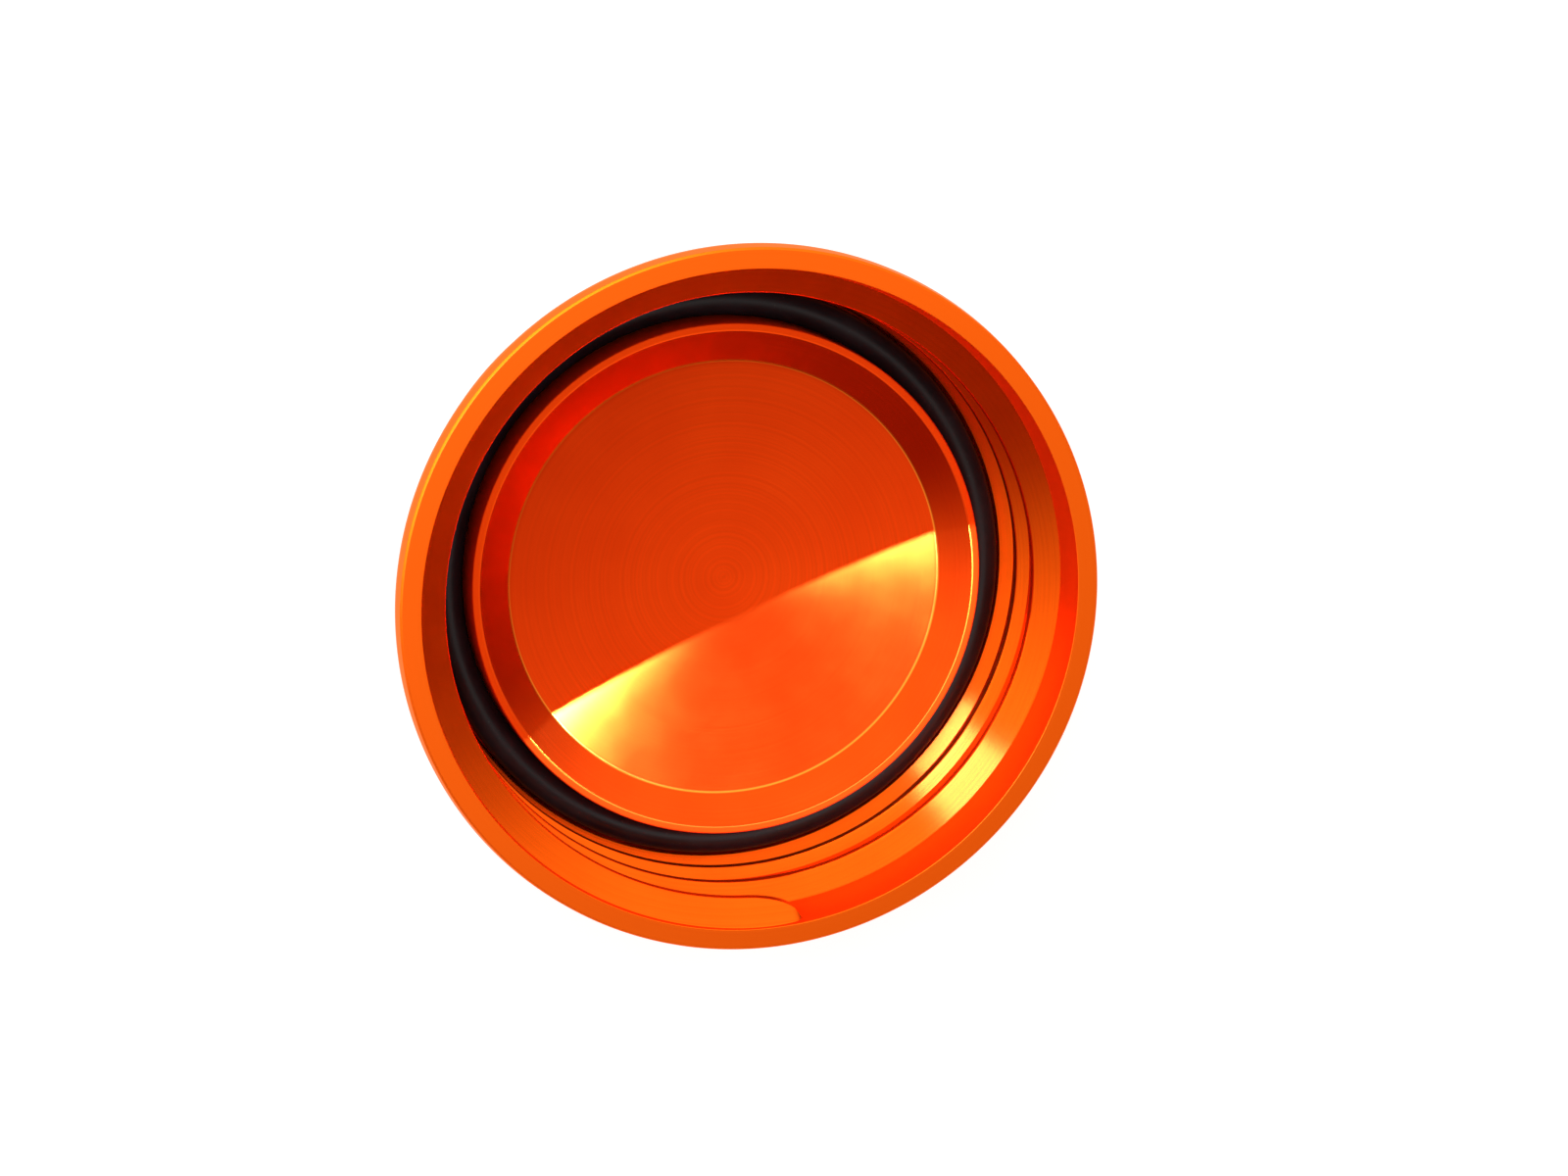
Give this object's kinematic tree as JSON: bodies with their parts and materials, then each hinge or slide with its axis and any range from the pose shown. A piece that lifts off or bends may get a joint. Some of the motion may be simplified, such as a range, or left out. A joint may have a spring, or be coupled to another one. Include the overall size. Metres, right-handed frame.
{
  "type": "threaded swivel coupling closure",
  "caption": "Round orange screw-on coupling closure: a swivel nut with a coarse internal thread turning on a dished closing disc with a black sealing ring.",
  "frame": {"origin": "on the thread's axis, in the plane of the flat back face that the closure stands on", "axes": "+Z along the thread's axis, out of the threaded mouth; +X and +Y across the mouth, with the thread's blunt start 80 degrees clockwise from +X as seen from the mouth"},
  "size_m": [0.1016, 0.1016, 0.0385],
  "materials": {
    "orange_anodised": "turned aluminium with a glossy orange anodised coat",
    "black_rubber": "smooth moulded nitrile, slightly glossy",
    "ivory_polymer": "machined acetal, matt",
    "spring_steel": "stamped stainless spring steel, satin"
  },
  "bodies": {
    "disc": {"swivel_disc": "orange_anodised", "face_o_ring": "black_rubber", "retaining_ring": "spring_steel"},
    "slip_rings": {"thrust_ring": "ivory_polymer", "back_washer": "spring_steel"},
    "nut": {"coupling_nut": "orange_anodised"}
  },
  "joints": [
    {"name": "nut_float", "type": "slide", "parent": "disc", "child": "slip_rings", "axis": [0, 0, 1], "range_m": [-0.0002, 0.0002]},
    {"name": "nut_turn", "type": "hinge", "parent": "slip_rings", "child": "nut", "pos_m": [0, 0, 0.0076], "axis": [0, 0, 1], "continuous": true}
  ]
}
